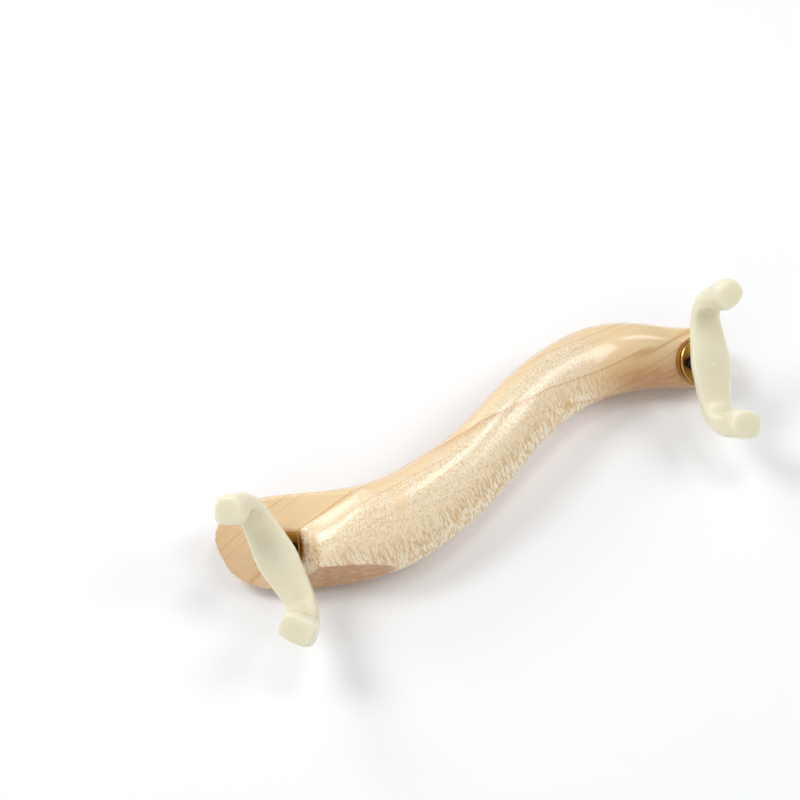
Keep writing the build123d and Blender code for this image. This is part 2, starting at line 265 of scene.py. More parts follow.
class ForkSettings(bpy.types.PropertyGroup):
    """Rubber forks."""
    rubber: FloatVectorProperty(name="Rubber", description="Colour of the milky rubber",
                                subtype="COLOR", size=3, min=0, max=1, default=linear("e9e5d0"))
    plastic: FloatVectorProperty(name="Core plastic", description="Colour of the hubs and cores",
                                 subtype="COLOR", size=3, min=0, max=1, default=linear("ddd9c6"))
    dimple: FloatProperty(name="Dimple radius", description="Radius of the mark in the middle, in mm",
                          default=1.0, min=0.3, max=3.0)


class StageSettings(bpy.types.PropertyGroup):
    """Camera, floor and lamps."""
    azimuth: FloatProperty(name="Azimuth", description="Side from which the camera looks",
                           subtype="ANGLE", default=math.radians(-23.02))
    elevation: FloatProperty(name="Elevation", description="Height of the camera above the horizon",
                             subtype="ANGLE", default=math.radians(59.04))
    roll: FloatProperty(name="Roll", description="Turn of the camera about its own axis",
                        subtype="ANGLE", default=math.radians(-4.5))
    distance: FloatProperty(name="Distance", description="From the camera to its target",
                            subtype="DISTANCE", unit="LENGTH", default=1.0)
    target: FloatVectorProperty(name="Target", description="Point in the middle of the view",
                                subtype="TRANSLATION", unit="LENGTH", size=3,
                                default=(-0.02058, 0.03511, 0.03129))
    lens: FloatProperty(name="Lens", description="Focal length of the camera, in mm", default=123.75)
    floor: FloatVectorProperty(name="Floor", description="Colour of the floor",
                               subtype="COLOR", size=3, min=0, max=1, default=linear("f8f9fa"))


# ---------------------------------------------------------------------------
# Materials
# ---------------------------------------------------------------------------
def ring_lines(tree, spot, gap):
    """Growth lines on flat parallel sheets, unevenly spaced and not all equally strong."""
    sheet = (rest_matrix().to_3x3() @ Vector((-0.06, 0.866, -0.5))).normalized() / (gap * MM)
    depth = add_node(tree, "ShaderNodeVectorMath", {0: spot, 1: sheet}, operation="DOT_PRODUCT")
    uneven = add_node(tree, "ShaderNodeTexNoise", {"W": depth.outputs["Value"], "Scale": 0.7, "Detail": 0.0},
                      noise_dimensions="1D")
    waves = add_node(tree, "ShaderNodeTexNoise", {"Vector": spot, "Scale": 11.0, "Detail": 3.0})
    rings = add_node(tree, "ShaderNodeMath", {0: uneven.outputs["Fac"], 1: 1.3, 2: depth.outputs["Value"]},
                     operation="MULTIPLY_ADD")
    rings = add_node(tree, "ShaderNodeMath", {0: waves.outputs["Fac"], 1: 0.9, 2: rings.outputs["Value"]},
                     operation="MULTIPLY_ADD")
    turn = add_node(tree, "ShaderNodeMath", {0: rings.outputs["Value"]}, operation="FRACT")
    year = add_node(tree, "ShaderNodeMath", {0: rings.outputs["Value"]}, operation="FLOOR")
    luck = add_node(tree, "ShaderNodeTexWhiteNoise", {"W": year.outputs["Value"]}, noise_dimensions="1D")
    strength = add_node(tree, "ShaderNodeMapRange", {"Value": luck.outputs["Value"], "From Min": 0.25,
                                                     "To Min": 0.12})
    late = add_node(tree, "ShaderNodeValToRGB", {"Fac": turn.outputs["Value"]})
    set_ramp(late, ((0.0, 0.0), (0.7, 0.03), (0.88, 0.16), (0.925, 0.9), (0.95, 1.0), (0.985, 0.0)))
    return add_node(tree, "ShaderNodeMath", {0: late.outputs["Color"], 1: strength.outputs["Result"]},
                    operation="MULTIPLY").outputs["Value"]


def ray_figure(tree, spot, scale, zone, bands, low, high):
    """Medullary rays in one zone: bands of a noise, dark where they are high and bright where low; the bright
    is partly the rays' paler tissue and partly painted sheen.
    """
    grain = add_node(tree, "ShaderNodeMapping", {"Vector": spot, "Scale": scale})
    noise = add_node(tree, "ShaderNodeTexNoise", {"Vector": grain.outputs["Vector"], "Scale": 1.0,
                                                  "Detail": 1.0, "Distortion": 0.3})
    many = add_node(tree, "ShaderNodeMath", {0: noise.outputs["Fac"], 1: bands}, operation="MULTIPLY")
    wave = add_node(tree, "ShaderNodeMath", {0: many.outputs["Value"], 1: 1.0}, operation="PINGPONG")
    share = add_node(tree, "ShaderNodeAttribute", attribute_name=zone)
    results = []
    for start, end in ((low, high), (1 - low, 1 - high)):
        ramp = add_node(tree, "ShaderNodeMapRange", {"Value": wave.outputs["Value"], "From Min": start,
                                                     "From Max": end})
        results.append(add_node(tree, "ShaderNodeMath", {0: ramp.outputs["Result"], 1: share.outputs["Fac"]},
                                operation="MULTIPLY").outputs["Value"])
    return results


def blend(tree, share, first, second):
    """Colour that goes from the first to the second as the share goes from 0 to 1."""
    return add_node(tree, "ShaderNodeMix", {"Factor": share, "A": first, "B": second},
                    data_type="RGBA").outputs["Result"]


def varnished_maple(settings):
    """Sycamore maple, carved, sanded and sprayed with clear gloss varnish."""
    # Cream wood with thin tan growth lines. Short medullary rays fleck the rounded faces and
    # stand across the fibres low on the sides; flat faces and ends are plainer and more orange.
    # Painted shade darkens the underside, the lower sides, the left end and the bottom of the
    # right end, and warms the upper edge where the surface turns away from the light; on the
    # lower facet the dark is partly the wood's own darker cut. The rays' bright share is partly
    # painted sheen.
    material, tree, output = new_material("varnished_maple")
    spot = add_node(tree, "ShaderNodeTexCoord").outputs["Object"]

    cloud = add_node(tree, "ShaderNodeTexNoise", {"Vector": spot, "Scale": 35.0, "Detail": 3.0})
    # Painted shade in part: the warm zone also warms the upper edge, where the surface turns away from the
    # light.
    warm_and_edge_shade_zone = add_node(tree, "ShaderNodeAttribute", attribute_name="warm")
    warmth_and_edge_shade = add_node(tree, "ShaderNodeMath", {0: cloud.outputs["Fac"], 1: 0.5, 2: warm_and_edge_shade_zone.outputs["Fac"]},
                      operation="MULTIPLY_ADD")
    warmth_and_edge_shade = add_node(tree, "ShaderNodeMath", {0: warmth_and_edge_shade.outputs["Value"], 1: 0.2}, operation="SUBTRACT",
                      use_clamp=True)
    tone = blend(tree, warmth_and_edge_shade.outputs["Value"], opaque(settings.pale), opaque(settings.warm))
    # Painted shade: the dark zone darkens the underside, the lower sides, the left end and the bottom of the
    # right end; on the lower facet it is partly the wood's own darker cut.
    dark_and_shade_zone = add_node(tree, "ShaderNodeAttribute", attribute_name="dark")
    fibre_map = add_node(tree, "ShaderNodeMapping", {"Vector": spot, "Scale": (60.0, 900.0, 900.0)})
    fibre = add_node(tree, "ShaderNodeTexNoise", {"Vector": fibre_map.outputs["Vector"], "Scale": 1.0,
                                                  "Detail": 2.0})
    streak = add_node(tree, "ShaderNodeMapRange", {"Value": fibre.outputs["Fac"], "From Min": 0.3,
                                                   "From Max": 0.7, "To Min": 0.72, "To Max": 1.05})
    dark_and_shade_share = add_node(tree, "ShaderNodeMath", {0: dark_and_shade_zone.outputs["Fac"], 1: streak.outputs["Result"]},
                        operation="MULTIPLY", use_clamp=True)
    tone = blend(tree, dark_and_shade_share.outputs["Value"], tone, opaque(settings.dark))
    lines = ring_lines(tree, spot, settings.ring_gap)
    faint = add_node(tree, "ShaderNodeMath", {0: lines, 1: 0.7}, operation="MULTIPLY")
    tone = blend(tree, faint.outputs["Value"], tone, opaque(settings.line))

    # Flecks are 0.4 mm wide and 1 mm long; ladder rays stand across the fibres, up to 4 mm long.
    fleck_dark, fleck_pale_and_sheen = ray_figure(tree, spot, (2600.0, 1000.0, 1000.0), "fleck", 1.0, 0.50, 0.60)
    ladder_dark, ladder_pale_and_sheen = ray_figure(tree, spot, (1300.0, 270.0, 270.0), "ladder", 5.0, 0.42, 0.80)
    figure = add_node(tree, "ShaderNodeMath", {0: ladder_dark, 1: 0.62}, operation="MULTIPLY")
    figure = add_node(tree, "ShaderNodeMath", {0: fleck_dark, 1: 0.42, 2: figure.outputs["Value"]},
                      operation="MULTIPLY_ADD", use_clamp=True)
    tone = blend(tree, figure.outputs["Value"], tone, opaque(settings.fleck))
    # Painted highlight in part: the rays' bright share lightens the wood towards near-white as their sheen,
    # besides their own paler tissue.
    bright = add_node(tree, "ShaderNodeMath", {0: ladder_pale_and_sheen, 1: fleck_pale_and_sheen}, operation="MAXIMUM")
    ray_pale_and_sheen = add_node(tree, "ShaderNodeMath", {0: bright.outputs["Value"], 1: 0.35}, operation="MULTIPLY")
    tone = blend(tree, ray_pale_and_sheen.outputs["Value"], tone, opaque(linear("fbf3e2")))

    bump = add_node(tree, "ShaderNodeBump", {"Strength": 0.25, "Distance": 0.0002,
                                             "Height": figure.outputs["Value"]}, invert=True)
    ripple = add_node(tree, "ShaderNodeBump", {"Strength": 0.06, "Distance": 0.0002,
                                               "Height": figure.outputs["Value"]}, invert=True)
    shader = add_node(tree, "ShaderNodeBsdfPrincipled", {
        "Base Color": tone, "Roughness": 0.45, "IOR": 1.5, "Normal": bump.outputs["Normal"],
        "Coat Weight": 1.0, "Coat Roughness": 0.16, "Coat IOR": 1.5, "Coat Normal": ripple.outputs["Normal"]})
    tree.links.new(shader.outputs["BSDF"], output.inputs["Surface"])
    return material


def milky_rubber(settings):
    """Translucent thermoplastic rubber, injection moulded in a satin tool."""
    # Light goes a few millimetres in, so edges glow softly; the skin has a soft sheen.
    material, tree, output = new_material("milky_rubber")
    spot = add_node(tree, "ShaderNodeTexCoord").outputs["Object"]
    cloud = add_node(tree, "ShaderNodeTexNoise", {"Vector": spot, "Scale": 70.0, "Detail": 2.0})
    tone = add_node(tree, "ShaderNodeMix", {"Factor": cloud.outputs["Fac"], "A": opaque(settings.rubber),
                                            "B": opaque(linear("e6e0c5"))}, data_type="RGBA")
    skin = add_node(tree, "ShaderNodeTexNoise", {"Vector": spot, "Scale": 900.0, "Detail": 2.0})
    gloss = add_node(tree, "ShaderNodeMapRange", {"Value": skin.outputs["Fac"],
                                                  "To Min": 0.16, "To Max": 0.28})
    bump = add_node(tree, "ShaderNodeBump", {"Strength": 0.12, "Distance": 0.0002,
                                             "Height": skin.outputs["Fac"]})
    shader = add_node(tree, "ShaderNodeBsdfPrincipled", {
        "Base Color": tone.outputs["Result"], "Roughness": gloss.outputs["Result"], "IOR": 1.45,
        "Subsurface Weight": 1.0, "Subsurface Radius": (1.0, 0.95, 0.75), "Subsurface Scale": 0.005,
        "Normal": bump.outputs["Normal"]})
    tree.links.new(shader.outputs["BSDF"], output.inputs["Surface"])
    return material


def polished_brass(settings):
    """Brass sheet, stamped, bevelled and polished, with a little handling tarnish."""
    # Gold-brown metal; faint polishing lines and slightly duller patches.
    material, tree, output = new_material("polished_brass")
    spot = add_node(tree, "ShaderNodeTexCoord").outputs["Object"]
    tarnish = add_node(tree, "ShaderNodeTexNoise", {"Vector": spot, "Scale": 260.0, "Detail": 3.0})
    tone = add_node(tree, "ShaderNodeMix", {"Factor": tarnish.outputs["Fac"], "A": opaque(settings.brass),
                                            "B": opaque(linear("a67c3c"))}, data_type="RGBA")
    stretch = add_node(tree, "ShaderNodeMapping", {"Vector": spot, "Scale": (400.0, 9000.0, 9000.0)})
    scratch = add_node(tree, "ShaderNodeTexNoise", {"Vector": stretch.outputs["Vector"], "Scale": 1.0,
                                                    "Detail": 1.0})
    gloss = add_node(tree, "ShaderNodeMapRange", {"Value": scratch.outputs["Fac"],
                                                  "To Min": 0.16, "To Max": 0.34})
    shader = add_node(tree, "ShaderNodeBsdfPrincipled", {
        "Base Color": tone.outputs["Result"], "Metallic": 1.0, "Roughness": gloss.outputs["Result"]})
    tree.links.new(shader.outputs["BSDF"], output.inputs["Surface"])
    return material


def blackened_steel(settings):
    """Steel screw rod, rolled thread, black oxide finish."""
    # Nearly black, satin, with brighter thread crests where the oxide has rubbed.
    material, tree, output = new_material("blackened_steel")
    spot = add_node(tree, "ShaderNodeTexCoord").outputs["Object"]
    wear = add_node(tree, "ShaderNodeTexNoise", {"Vector": spot, "Scale": 700.0, "Detail": 3.0})
    tone = add_node(tree, "ShaderNodeMix", {"Factor": wear.outputs["Fac"], "A": opaque(settings.steel),
                                            "B": opaque(linear("3a3836"))}, data_type="RGBA")
    gloss = add_node(tree, "ShaderNodeMapRange", {"Value": wear.outputs["Fac"], "To Min": 0.3, "To Max": 0.5})
    shader = add_node(tree, "ShaderNodeBsdfPrincipled", {
        "Base Color": tone.outputs["Result"], "Metallic": 1.0, "Roughness": gloss.outputs["Result"]})
    tree.links.new(shader.outputs["BSDF"], output.inputs["Surface"])
    return material


def moulded_nylon(settings):
    """Natural nylon, injection moulded."""
    # Off-white, slightly waxy, with a fine spark-eroded grain of about a third of a millimetre.
    material, tree, output = new_material("moulded_nylon")
    spot = add_node(tree, "ShaderNodeTexCoord").outputs["Object"]
    grit = add_node(tree, "ShaderNodeTexNoise", {"Vector": spot, "Scale": 3000.0, "Detail": 1.0})
    cloud = add_node(tree, "ShaderNodeTexNoise", {"Vector": spot, "Scale": 120.0, "Detail": 2.0})
    tone = add_node(tree, "ShaderNodeMix", {"Factor": cloud.outputs["Fac"], "A": opaque(settings.plastic),
                                            "B": opaque(linear("d2cdb6"))}, data_type="RGBA")
    bump = add_node(tree, "ShaderNodeBump", {"Strength": 0.3, "Distance": 0.0001,
                                             "Height": grit.outputs["Fac"]})
    shader = add_node(tree, "ShaderNodeBsdfPrincipled", {
        "Base Color": tone.outputs["Result"], "Roughness": 0.5, "IOR": 1.53,
        "Normal": bump.outputs["Normal"]})
    tree.links.new(shader.outputs["BSDF"], output.inputs["Surface"])
    return material


def matt_paper(settings):
    """Plain seamless paper for the floor."""
    material, tree, output = new_material("matt_paper")
    spot = add_node(tree, "ShaderNodeTexCoord").outputs["Object"]
    fibre = add_node(tree, "ShaderNodeTexNoise", {"Vector": spot, "Scale": 3.0, "Detail": 2.0})
    tone = add_node(tree, "ShaderNodeMix", {"Factor": fibre.outputs["Fac"], "A": opaque(settings.floor),
                                            "B": opaque(linear("f6f7f8"))}, data_type="RGBA")
    shader = add_node(tree, "ShaderNodeBsdfPrincipled", {
        "Base Color": tone.outputs["Result"], "Roughness": 0.8, "Specular IOR Level": 0.2})
    tree.links.new(shader.outputs["BSDF"], output.inputs["Surface"])
    return material


# ---------------------------------------------------------------------------
# Wooden body
# ---------------------------------------------------------------------------
# Flat faces of the left end in the rest's own frame, in millimetres: (point, normal). The pad is
# the face that the left plate is let into.
PAD_DEPTH = -1.2
UPPER_FACET = (Vector((-79.0, 4.7, 0.6)), Vector((-0.257, 0.299, 0.919)))
LOWER_FACET = (Vector((-75.0, -10.0, 7.6)), Vector((-0.388, -0.774, 0.501)))
NOSE = Vector((-66.0, -2.0, 12.0))
NOSE_REACH = 20.0


# How far from a flat face, in millimetres, and how well aligned with it, its share fades out.
FACE_DEPTH = (0.3, 0.9)
FACE_ALIGNED = (0.93, 0.985)
# Where the ends of the bar start and are complete, in millimetres along it.
LEFT_END = (84.0, 98.0)
RIGHT_END = (34.0, 64.0)


def smoothed(bm, verts):
    """One pass of sanding over these vertices."""
    bmesh.ops.smooth_vert(bm, verts=verts, factor=0.5, use_axis_x=True, use_axis_y=True, use_axis_z=True)


def face_shares(to_rest, to_pad, point, normal):
    """How much a point of the surface belongs to the pad, the upper facet and the lower facet."""
    spot = to_rest @ point
    facing = (to_rest.to_3x3() @ normal).normalized()
    faces = (
        ((to_pad @ point).z - PAD_DEPTH, (to_pad.to_3x3() @ normal).normalized().z),
        ((spot - UPPER_FACET[0]).dot(UPPER_FACET[1]), facing.dot(UPPER_FACET[1])),
        ((spot - LOWER_FACET[0]).dot(LOWER_FACET[1]), facing.dot(LOWER_FACET[1])),
    )
    return [(1 - smoothstep(abs(height), *FACE_DEPTH)) * smoothstep(aligned, *FACE_ALIGNED)
            for height, aligned in faces]


def carved_bar(settings):
    """The wood's solid, welded, then softened as sanding leaves it, most at the nose."""
    bm = bmesh.new()
    bm.from_mesh(need_node("body_wood").data)
    bmesh.ops.remove_doubles(bm, verts=bm.verts, dist=0.001 * MM)
    bm = with_modifier(bm, "REMESH", mode="VOXEL", voxel_size=settings.voxel * MM)
    to_rest = rest_matrix().inverted()
    to_pad = seat_matrix("left", 0.0).inverted()
    for _ in range(settings.soften):
        smoothed(bm, bm.verts)
    bm.normal_update()
    nose = []
    for vert in bm.verts:
        away = (to_rest @ vert.co - NOSE).length
        if away < NOSE_REACH and max(face_shares(to_rest, to_pad, vert.co, vert.normal)) < 0.5:
            nose.append((away, vert))
    for step in range(settings.nose_soften):
        reach = NOSE_REACH * (1 - 0.6 * step / settings.nose_soften)
        smoothed(bm, [vert for away, vert in nose if away < reach])
    return bm


def paint_wood(mesh):
    """Marks where the wood is warm or dark, partly as painted shade, and where flecks and ladder rays show.
    """
    to_rest = rest_matrix().inverted()
    to_pad = seat_matrix("left", 0.0).inverted()
    turn = to_rest.to_3x3().normalized()
    zones = {name: mesh.attributes.new(name, "FLOAT", "POINT")
             for name in ("warm", "dark", "fleck", "ladder")}
    for vertex in mesh.vertices:
        spot = to_rest @ vertex.co
        facing = turn @ vertex.normal
        pad, upper, lower = face_shares(to_rest, to_pad, vertex.co, vertex.normal)
        flat = max(pad, upper)
        # Painted shade: the upper edge, where the surface turns away from the light, is made warmer.
        over = smoothstep(facing.y, 0.45, 0.9)
        under = smoothstep(-facing.y, -0.12, 0.35)
        # Painted shade: faces turned away from the violin, towards the floor, are made darker.
        below = smoothstep(-facing.z, -0.35, 0.2)
        left_end = smoothstep(-spot.x, *LEFT_END)
        right_end = smoothstep(spot.x, *RIGHT_END)
        wall = smoothstep(-facing.x, 0.45, 0.7) * (1 - flat)
        figured = (1 - flat) * (1 - lower) * (1 - left_end) * (1 - right_end)
        # Painted shade: the bottom of the right end is made darker.
        shade_low_right = right_end * smoothstep(-facing.y, -0.15, 0.5)
        # Painted shade: warm on the upper edge and lightly on the left end; dark on the underside, the left
        # end and the bottom of the right end. The lower facet's dark is partly its own darker cut.
        zones["warm"].data[vertex.index].value = max(flat, 0.9 * over, 0.2 * left_end, 0.8 * right_end)
        zones["dark"].data[vertex.index].value = max(lower, 0.8 * below, 0.35 * left_end, 0.9 * shade_low_right)
        zones["fleck"].data[vertex.index].value = figured * (1 - over) * (1 - under)
        zones["ladder"].data[vertex.index].value = figured * max(under, wall) * (1 - below)


class SHOULDER_REST_OT_body(bpy.types.Operator):
    """Makes the carved maple bar"""
    bl_idname = "shoulder_rest.body"
    bl_label = "Carved body"

    def execute(self, context):
        settings = context.scene.rest_body
        piece = finish_piece(carved_bar(settings), "carved_maple_bar", Matrix.Identity(4),
                             varnished_maple(settings), "rest", ["body_wood"])
        paint_wood(piece.data)
        return {"FINISHED"}


# ---------------------------------------------------------------------------
# Plates
# ---------------------------------------------------------------------------
# Plates in their own seats, in millimetres: how far the second hole is from the stud's along X.
HOLE_OFFSET = {"left": -11.6, "right": 10.0}
LEFT_PLATE_SIZE = (17.4, 11.8, 2.2)
LEFT_PLATE_BEVEL = 0.55
DRILL_LENGTH = 12.0
# Turned outline of the disc, (radius, height): a groove runs round its side below the bevel.
DISC_OUTLINE = ((0.0, 0.0), (8.9, 0.0), (9.3, -0.1), (9.6, -0.45), (9.6, -0.7), (8.8, -0.85), (8.8, -1.45),
                (9.6, -1.6), (9.6, -4.2), (0.0, -4.2))
HOLE_RADIUS = 2.05
COUNTERSINK = 0.4


def plate_blank():
    """The left plate before drilling, bevelled round its face."""
    bm = bmesh.new()
    bmesh.ops.create_cube(bm, size=1.0)
    length, width, thick = LEFT_PLATE_SIZE
    for vert in bm.verts:
        vert.co = (vert.co.x * length, vert.co.y * width, (vert.co.z - 0.5) * thick)
    rim = [edge for edge in bm.edges if all(vert.co.z > -0.01 for vert in edge.verts)]
    bmesh.ops.bevel(bm, geom=rim, offset=LEFT_PLATE_BEVEL, affect="EDGES", segments=2, profile=0.5,
                    material=-1)
    return bm


def disc_blank():
    """The right disc before drilling."""
    bm = bmesh.new()
    verts = [bm.verts.new((radius, 0.0, height)) for radius, height in DISC_OUTLINE]
    edges = [bm.edges.new(pair) for pair in zip(verts, verts[1:])]
    bmesh.ops.spin(bm, geom=verts + edges, cent=(0, 0, 0), axis=(0, 0, 1), angle=2 * math.pi, steps=96,
                   use_merge=True)
    bmesh.ops.remove_doubles(bm, verts=bm.verts, dist=0.001)
    return bm


def drilled(bm, offset):
    """A blank moved to its seat, with a countersunk hole at the stud and one at the offset."""
    bmesh.ops.translate(bm, vec=(offset / 2, 0, 0), verts=bm.verts)
    for centre in (0.0, offset):
        drill = bmesh.new()
        bmesh.ops.create_cone(drill, cap_ends=True, segments=48, radius1=HOLE_RADIUS, radius2=HOLE_RADIUS,
                              depth=DRILL_LENGTH)
        face = max(drill.faces, key=lambda item: item.calc_center_median().z)
        bmesh.ops.translate(drill, vec=(0, 0, -COUNTERSINK - face.calc_center_median().z), verts=face.verts)
        made = bmesh.ops.extrude_face_region(drill, geom=[face])["geom"]
        bmesh.ops.delete(drill, geom=[face], context="FACES_ONLY")
        rim = [item for item in made if isinstance(item, bmesh.types.BMVert)]
        grow = (HOLE_RADIUS + 2 * COUNTERSINK) / HOLE_RADIUS
        bmesh.ops.scale(drill, vec=(grow, grow, 1), verts=rim)
        bmesh.ops.translate(drill, vec=(0, 0, 2 * COUNTERSINK), verts=rim)
        bmesh.ops.translate(drill, vec=(centre, 0, 0), verts=drill.verts)
        bmesh.ops.recalc_face_normals(drill, faces=drill.faces)
        mesh = bpy.data.meshes.new("drill")
        drill.to_mesh(mesh)
        drill.free()
        cutter = bpy.data.objects.new("drill", mesh)
        bpy.context.scene.collection.objects.link(cutter)
        bm = with_modifier(bm, "BOOLEAN", object=cutter, operation="DIFFERENCE", solver="EXACT")
        bpy.data.objects.remove(cutter)
        bpy.data.meshes.remove(mesh)
    return bm


class SHOULDER_REST_OT_fittings(bpy.types.Operator):
    """Makes the plates and dresses the bushes in brass"""
    bl_idname = "shoulder_rest.fittings"
    bl_label = "Plates and bushes"

    def execute(self, context):
        brass = polished_brass(context.scene.rest_fittings)
        for (side, data), blank in zip(SIDES.items(), (plate_blank(), disc_blank())):
            finish_piece(drilled(blank, HOLE_OFFSET[side]), f"{side}_brass_plate",
                         seat_matrix(side, data["plate_turn"]), brass, "rest", [f"{side}_plate"],
                         smooth_angle=30)
            for part in ("inner_bush", "outer_bush"):
                node = need_node(f"{side}_{part}")
                node.data.materials.clear()
                node.data.materials.append(brass)
        return {"FINISHED"}


# ---------------------------------------------------------------------------
# Studs
# ---------------------------------------------------------------------------
STUD_RADIUS = 1.98
STUD_SIDES = 32
LEAD_IN = 0.8


def threaded_rod(settings, bottom, top):
    """A rod with a real helical thread between two heights."""
    bm = bmesh.new()
    root = STUD_RADIUS - settings.thread_depth
    crest = settings.pitch / 8
    profile = ((root, 0.0), (STUD_RADIUS, (settings.pitch - crest) / 2),
               (STUD_RADIUS, (settings.pitch + crest) / 2), (root, settings.pitch))
    start = bottom - 2 * settings.pitch
    verts = [bm.verts.new((radius, 0.0, start + rise)) for radius, rise in profile]
    edges = [bm.edges.new(pair) for pair in zip(verts, verts[1:])]
    turns = math.ceil((top - bottom) / settings.pitch) + 3
    bmesh.ops.spin(bm, geom=verts + edges, cent=(0, 0, 0), axis=(0, 0, 1),
                   dvec=(0, 0, settings.pitch / STUD_SIDES), angle=2 * math.pi * turns,
                   steps=STUD_SIDES * turns, use_merge=False)
    bmesh.ops.remove_doubles(bm, verts=bm.verts, dist=settings.pitch / 100)
    for height, direction in ((top, 1), (bottom, -1)):
        bmesh.ops.bisect_plane(bm, geom=[*bm.verts, *bm.edges, *bm.faces], plane_co=(0, 0, height),
                               plane_no=(0, 0, direction), clear_outer=True)
    bmesh.ops.holes_fill(bm, edges=[edge for edge in bm.edges if edge.is_boundary])
    for vert in bm.verts:
        run = min(max((vert.co.z - bottom) / LEAD_IN, 0.0), 1.0)
        limit = root + settings.thread_depth * run
        radius = math.hypot(vert.co.x, vert.co.y)
        if radius > limit:
            vert.co.x *= limit / radius
            vert.co.y *= limit / radius
    return bm


class SHOULDER_REST_OT_studs(bpy.types.Operator):
    """Makes the threaded studs"""
    bl_idname = "shoulder_rest.studs"
    bl_label = "Studs"

    def execute(self, context):
        settings = context.scene.rest_fittings
        steel = blackened_steel(settings)
        for side, data in SIDES.items():
            finish_piece(threaded_rod(settings, STUD_BOTTOM, STUD_TOP), f"{side}_threaded_stud",
                         seat_matrix(side, data["fork_turn"]), steel, f"{side}_stud",
                         [f"{side}_fork_stud"], smooth_angle=50)
        return {"FINISHED"}


# ---------------------------------------------------------------------------
# Forks
# ---------------------------------------------------------------------------
def section_place(centre, width, thick, slope, end, twist=0.0):
    """Place of a unit section of a fork: X across the fork, Z along its curved length."""
    tangent = Vector((math.cos(math.radians(slope)), 0, end * math.sin(math.radians(slope))))
    across = Quaternion((0, 0, 1), math.radians(twist)) @ Vector((0, 1, 0))
    across = (across - tangent * across.dot(tangent)).normalized()
    axes = Matrix((across, tangent.cross(across), tangent)).transposed().to_4x4()
    return Matrix.Translation(centre) @ axes @ Matrix.Diagonal((width, thick, 1.0, 1.0))


def claw_stations(side, end):
    """(place, flare, squareness) of every section from the middle of a fork to a claw's tip."""
    pad_along, pad_across, pad_width, pad_thick, twist, pad_square = CLAW_PADS[side][end]
    pad = Vector((pad_along, pad_across, 0.0))
    stations = []
    for along, forward, width, thick, slope, share in FORK_HALF:
        centre = Vector((end * along, CROSSPIECE_SHIFT[side], 0.0)).lerp(pad, share)
        centre.z = FORK_REACH + forward
        place = section_place(centre, width, thick, slope, end, twist * share)
        square = SECTION_SQUARENESS + (pad_square - SECTION_SQUARENESS) * share
        stations.append((place, SECTION_FLARE * (1 - share), square))
    neck = Vector((end * FORK_HALF[-1][0], CROSSPIECE_SHIFT[side], 0.0))
    _, _, neck_width, neck_thick, _, _ = FORK_HALF[-1]
    for share, forward, scale in PAD_RISE:
        centre = neck.lerp(pad, share)
        centre.z = FORK_REACH + forward
        width = scale * (neck_width + (pad_width - neck_width) * share)
        thick = scale * (neck_thick + (pad_thick - neck_thick) * share)
        place = section_place(centre, width, thick, 90.0, end, twist * share)
        square = SECTION_SQUARENESS + (pad_square - SECTION_SQUARENESS) * share
        stations.append((place, SECTION_FLARE * (1 - share), square))
    return stations


def shape_section(verts, flare, square):
    """Slides a unit section's corners onto a superellipse, wider at the front by the flare."""
    for vert in verts:
        angle = math.atan2(vert.co.y, vert.co.x)
        reach = abs(math.cos(angle)) ** square + abs(math.sin(angle)) ** square
        radius = 0.5 * reach ** (-1 / square)
        height = radius * math.sin(angle)
        vert.co = (radius * math.cos(angle) * (1 + 2 * flare * height), height, 0.0)


SECTION_SIDES = 24
TIP_INSET = 1.0


def swept_fork(side):
    """A rounded section, extruded from the tip of one claw to the tip of the other."""
    stations = claw_stations(side, -1)[:0:-1] + claw_stations(side, 1)
    bm = bmesh.new()
    bmesh.ops.create_circle(bm, cap_ends=True, segments=SECTION_SIDES, radius=0.5)
    face = bm.faces[:][0]
    before = None
    for place, flare, square in stations:
        if before is not None:
            made = bmesh.ops.extrude_face_region(bm, geom=[face])["geom"]
            if len(bm.faces) > SECTION_SIDES + 2:
                bmesh.ops.delete(bm, geom=[face], context="FACES_ONLY")
            face = next(item for item in made if isinstance(item, bmesh.types.BMFace))
            bmesh.ops.transform(bm, matrix=before.inverted(), verts=face.verts)
        shape_section(face.verts, flare, square)
        bmesh.ops.transform(bm, matrix=place, verts=face.verts)
        before = place
    bmesh.ops.recalc_face_normals(bm, faces=bm.faces)
    caps = [item for item in bm.faces if len(item.verts) > 4]
    bmesh.ops.inset_individual(bm, faces=caps, thickness=TIP_INSET, depth=0.25, use_even_offset=True)
    return bm


DIMPLE_DEPTH = 0.35
DIMPLE_RIM = 0.08


def press_dimple(bm, middle, radius):
    """The round moulding mark in the middle of the front face, with a low rim."""
    for vert in bm.verts:
        away = math.hypot(vert.co.x, vert.co.y - middle)
        if vert.co.z > FORK_REACH - 1.0 and away < 2.5 * radius:
            sunk = 1 - smoothstep(away, 0.35 * radius, radius)
            rim = smoothstep(away, 0.8 * radius, 1.2 * radius)
            rim *= 1 - smoothstep(away, 1.3 * radius, 2.2 * radius)
            vert.co.z += DIMPLE_RIM * rim - DIMPLE_DEPTH * sunk


def hub_boss(top, bottom):
    """Turned boss behind the crosspiece, flared into it."""
    bm = bmesh.new()
    profile = ((2.05, bottom), (4.0, bottom), (4.4, bottom + 0.2), (4.55, bottom + 0.6),
               (4.55, top - 0.5), (4.7, top - 0.2), (5.0, top + 0.2))
    verts = [bm.verts.new((radius, 0.0, height)) for radius, height in profile]
    edges = [bm.edges.new(pair) for pair in zip(verts, verts[1:])]
    bmesh.ops.spin(bm, geom=verts + edges, cent=(0, 0, 0), axis=(0, 0, 1), angle=2 * math.pi, steps=64,
                   use_merge=True)
    bmesh.ops.holes_fill(bm, edges=[edge for edge in bm.edges if edge.is_boundary])
    return bm


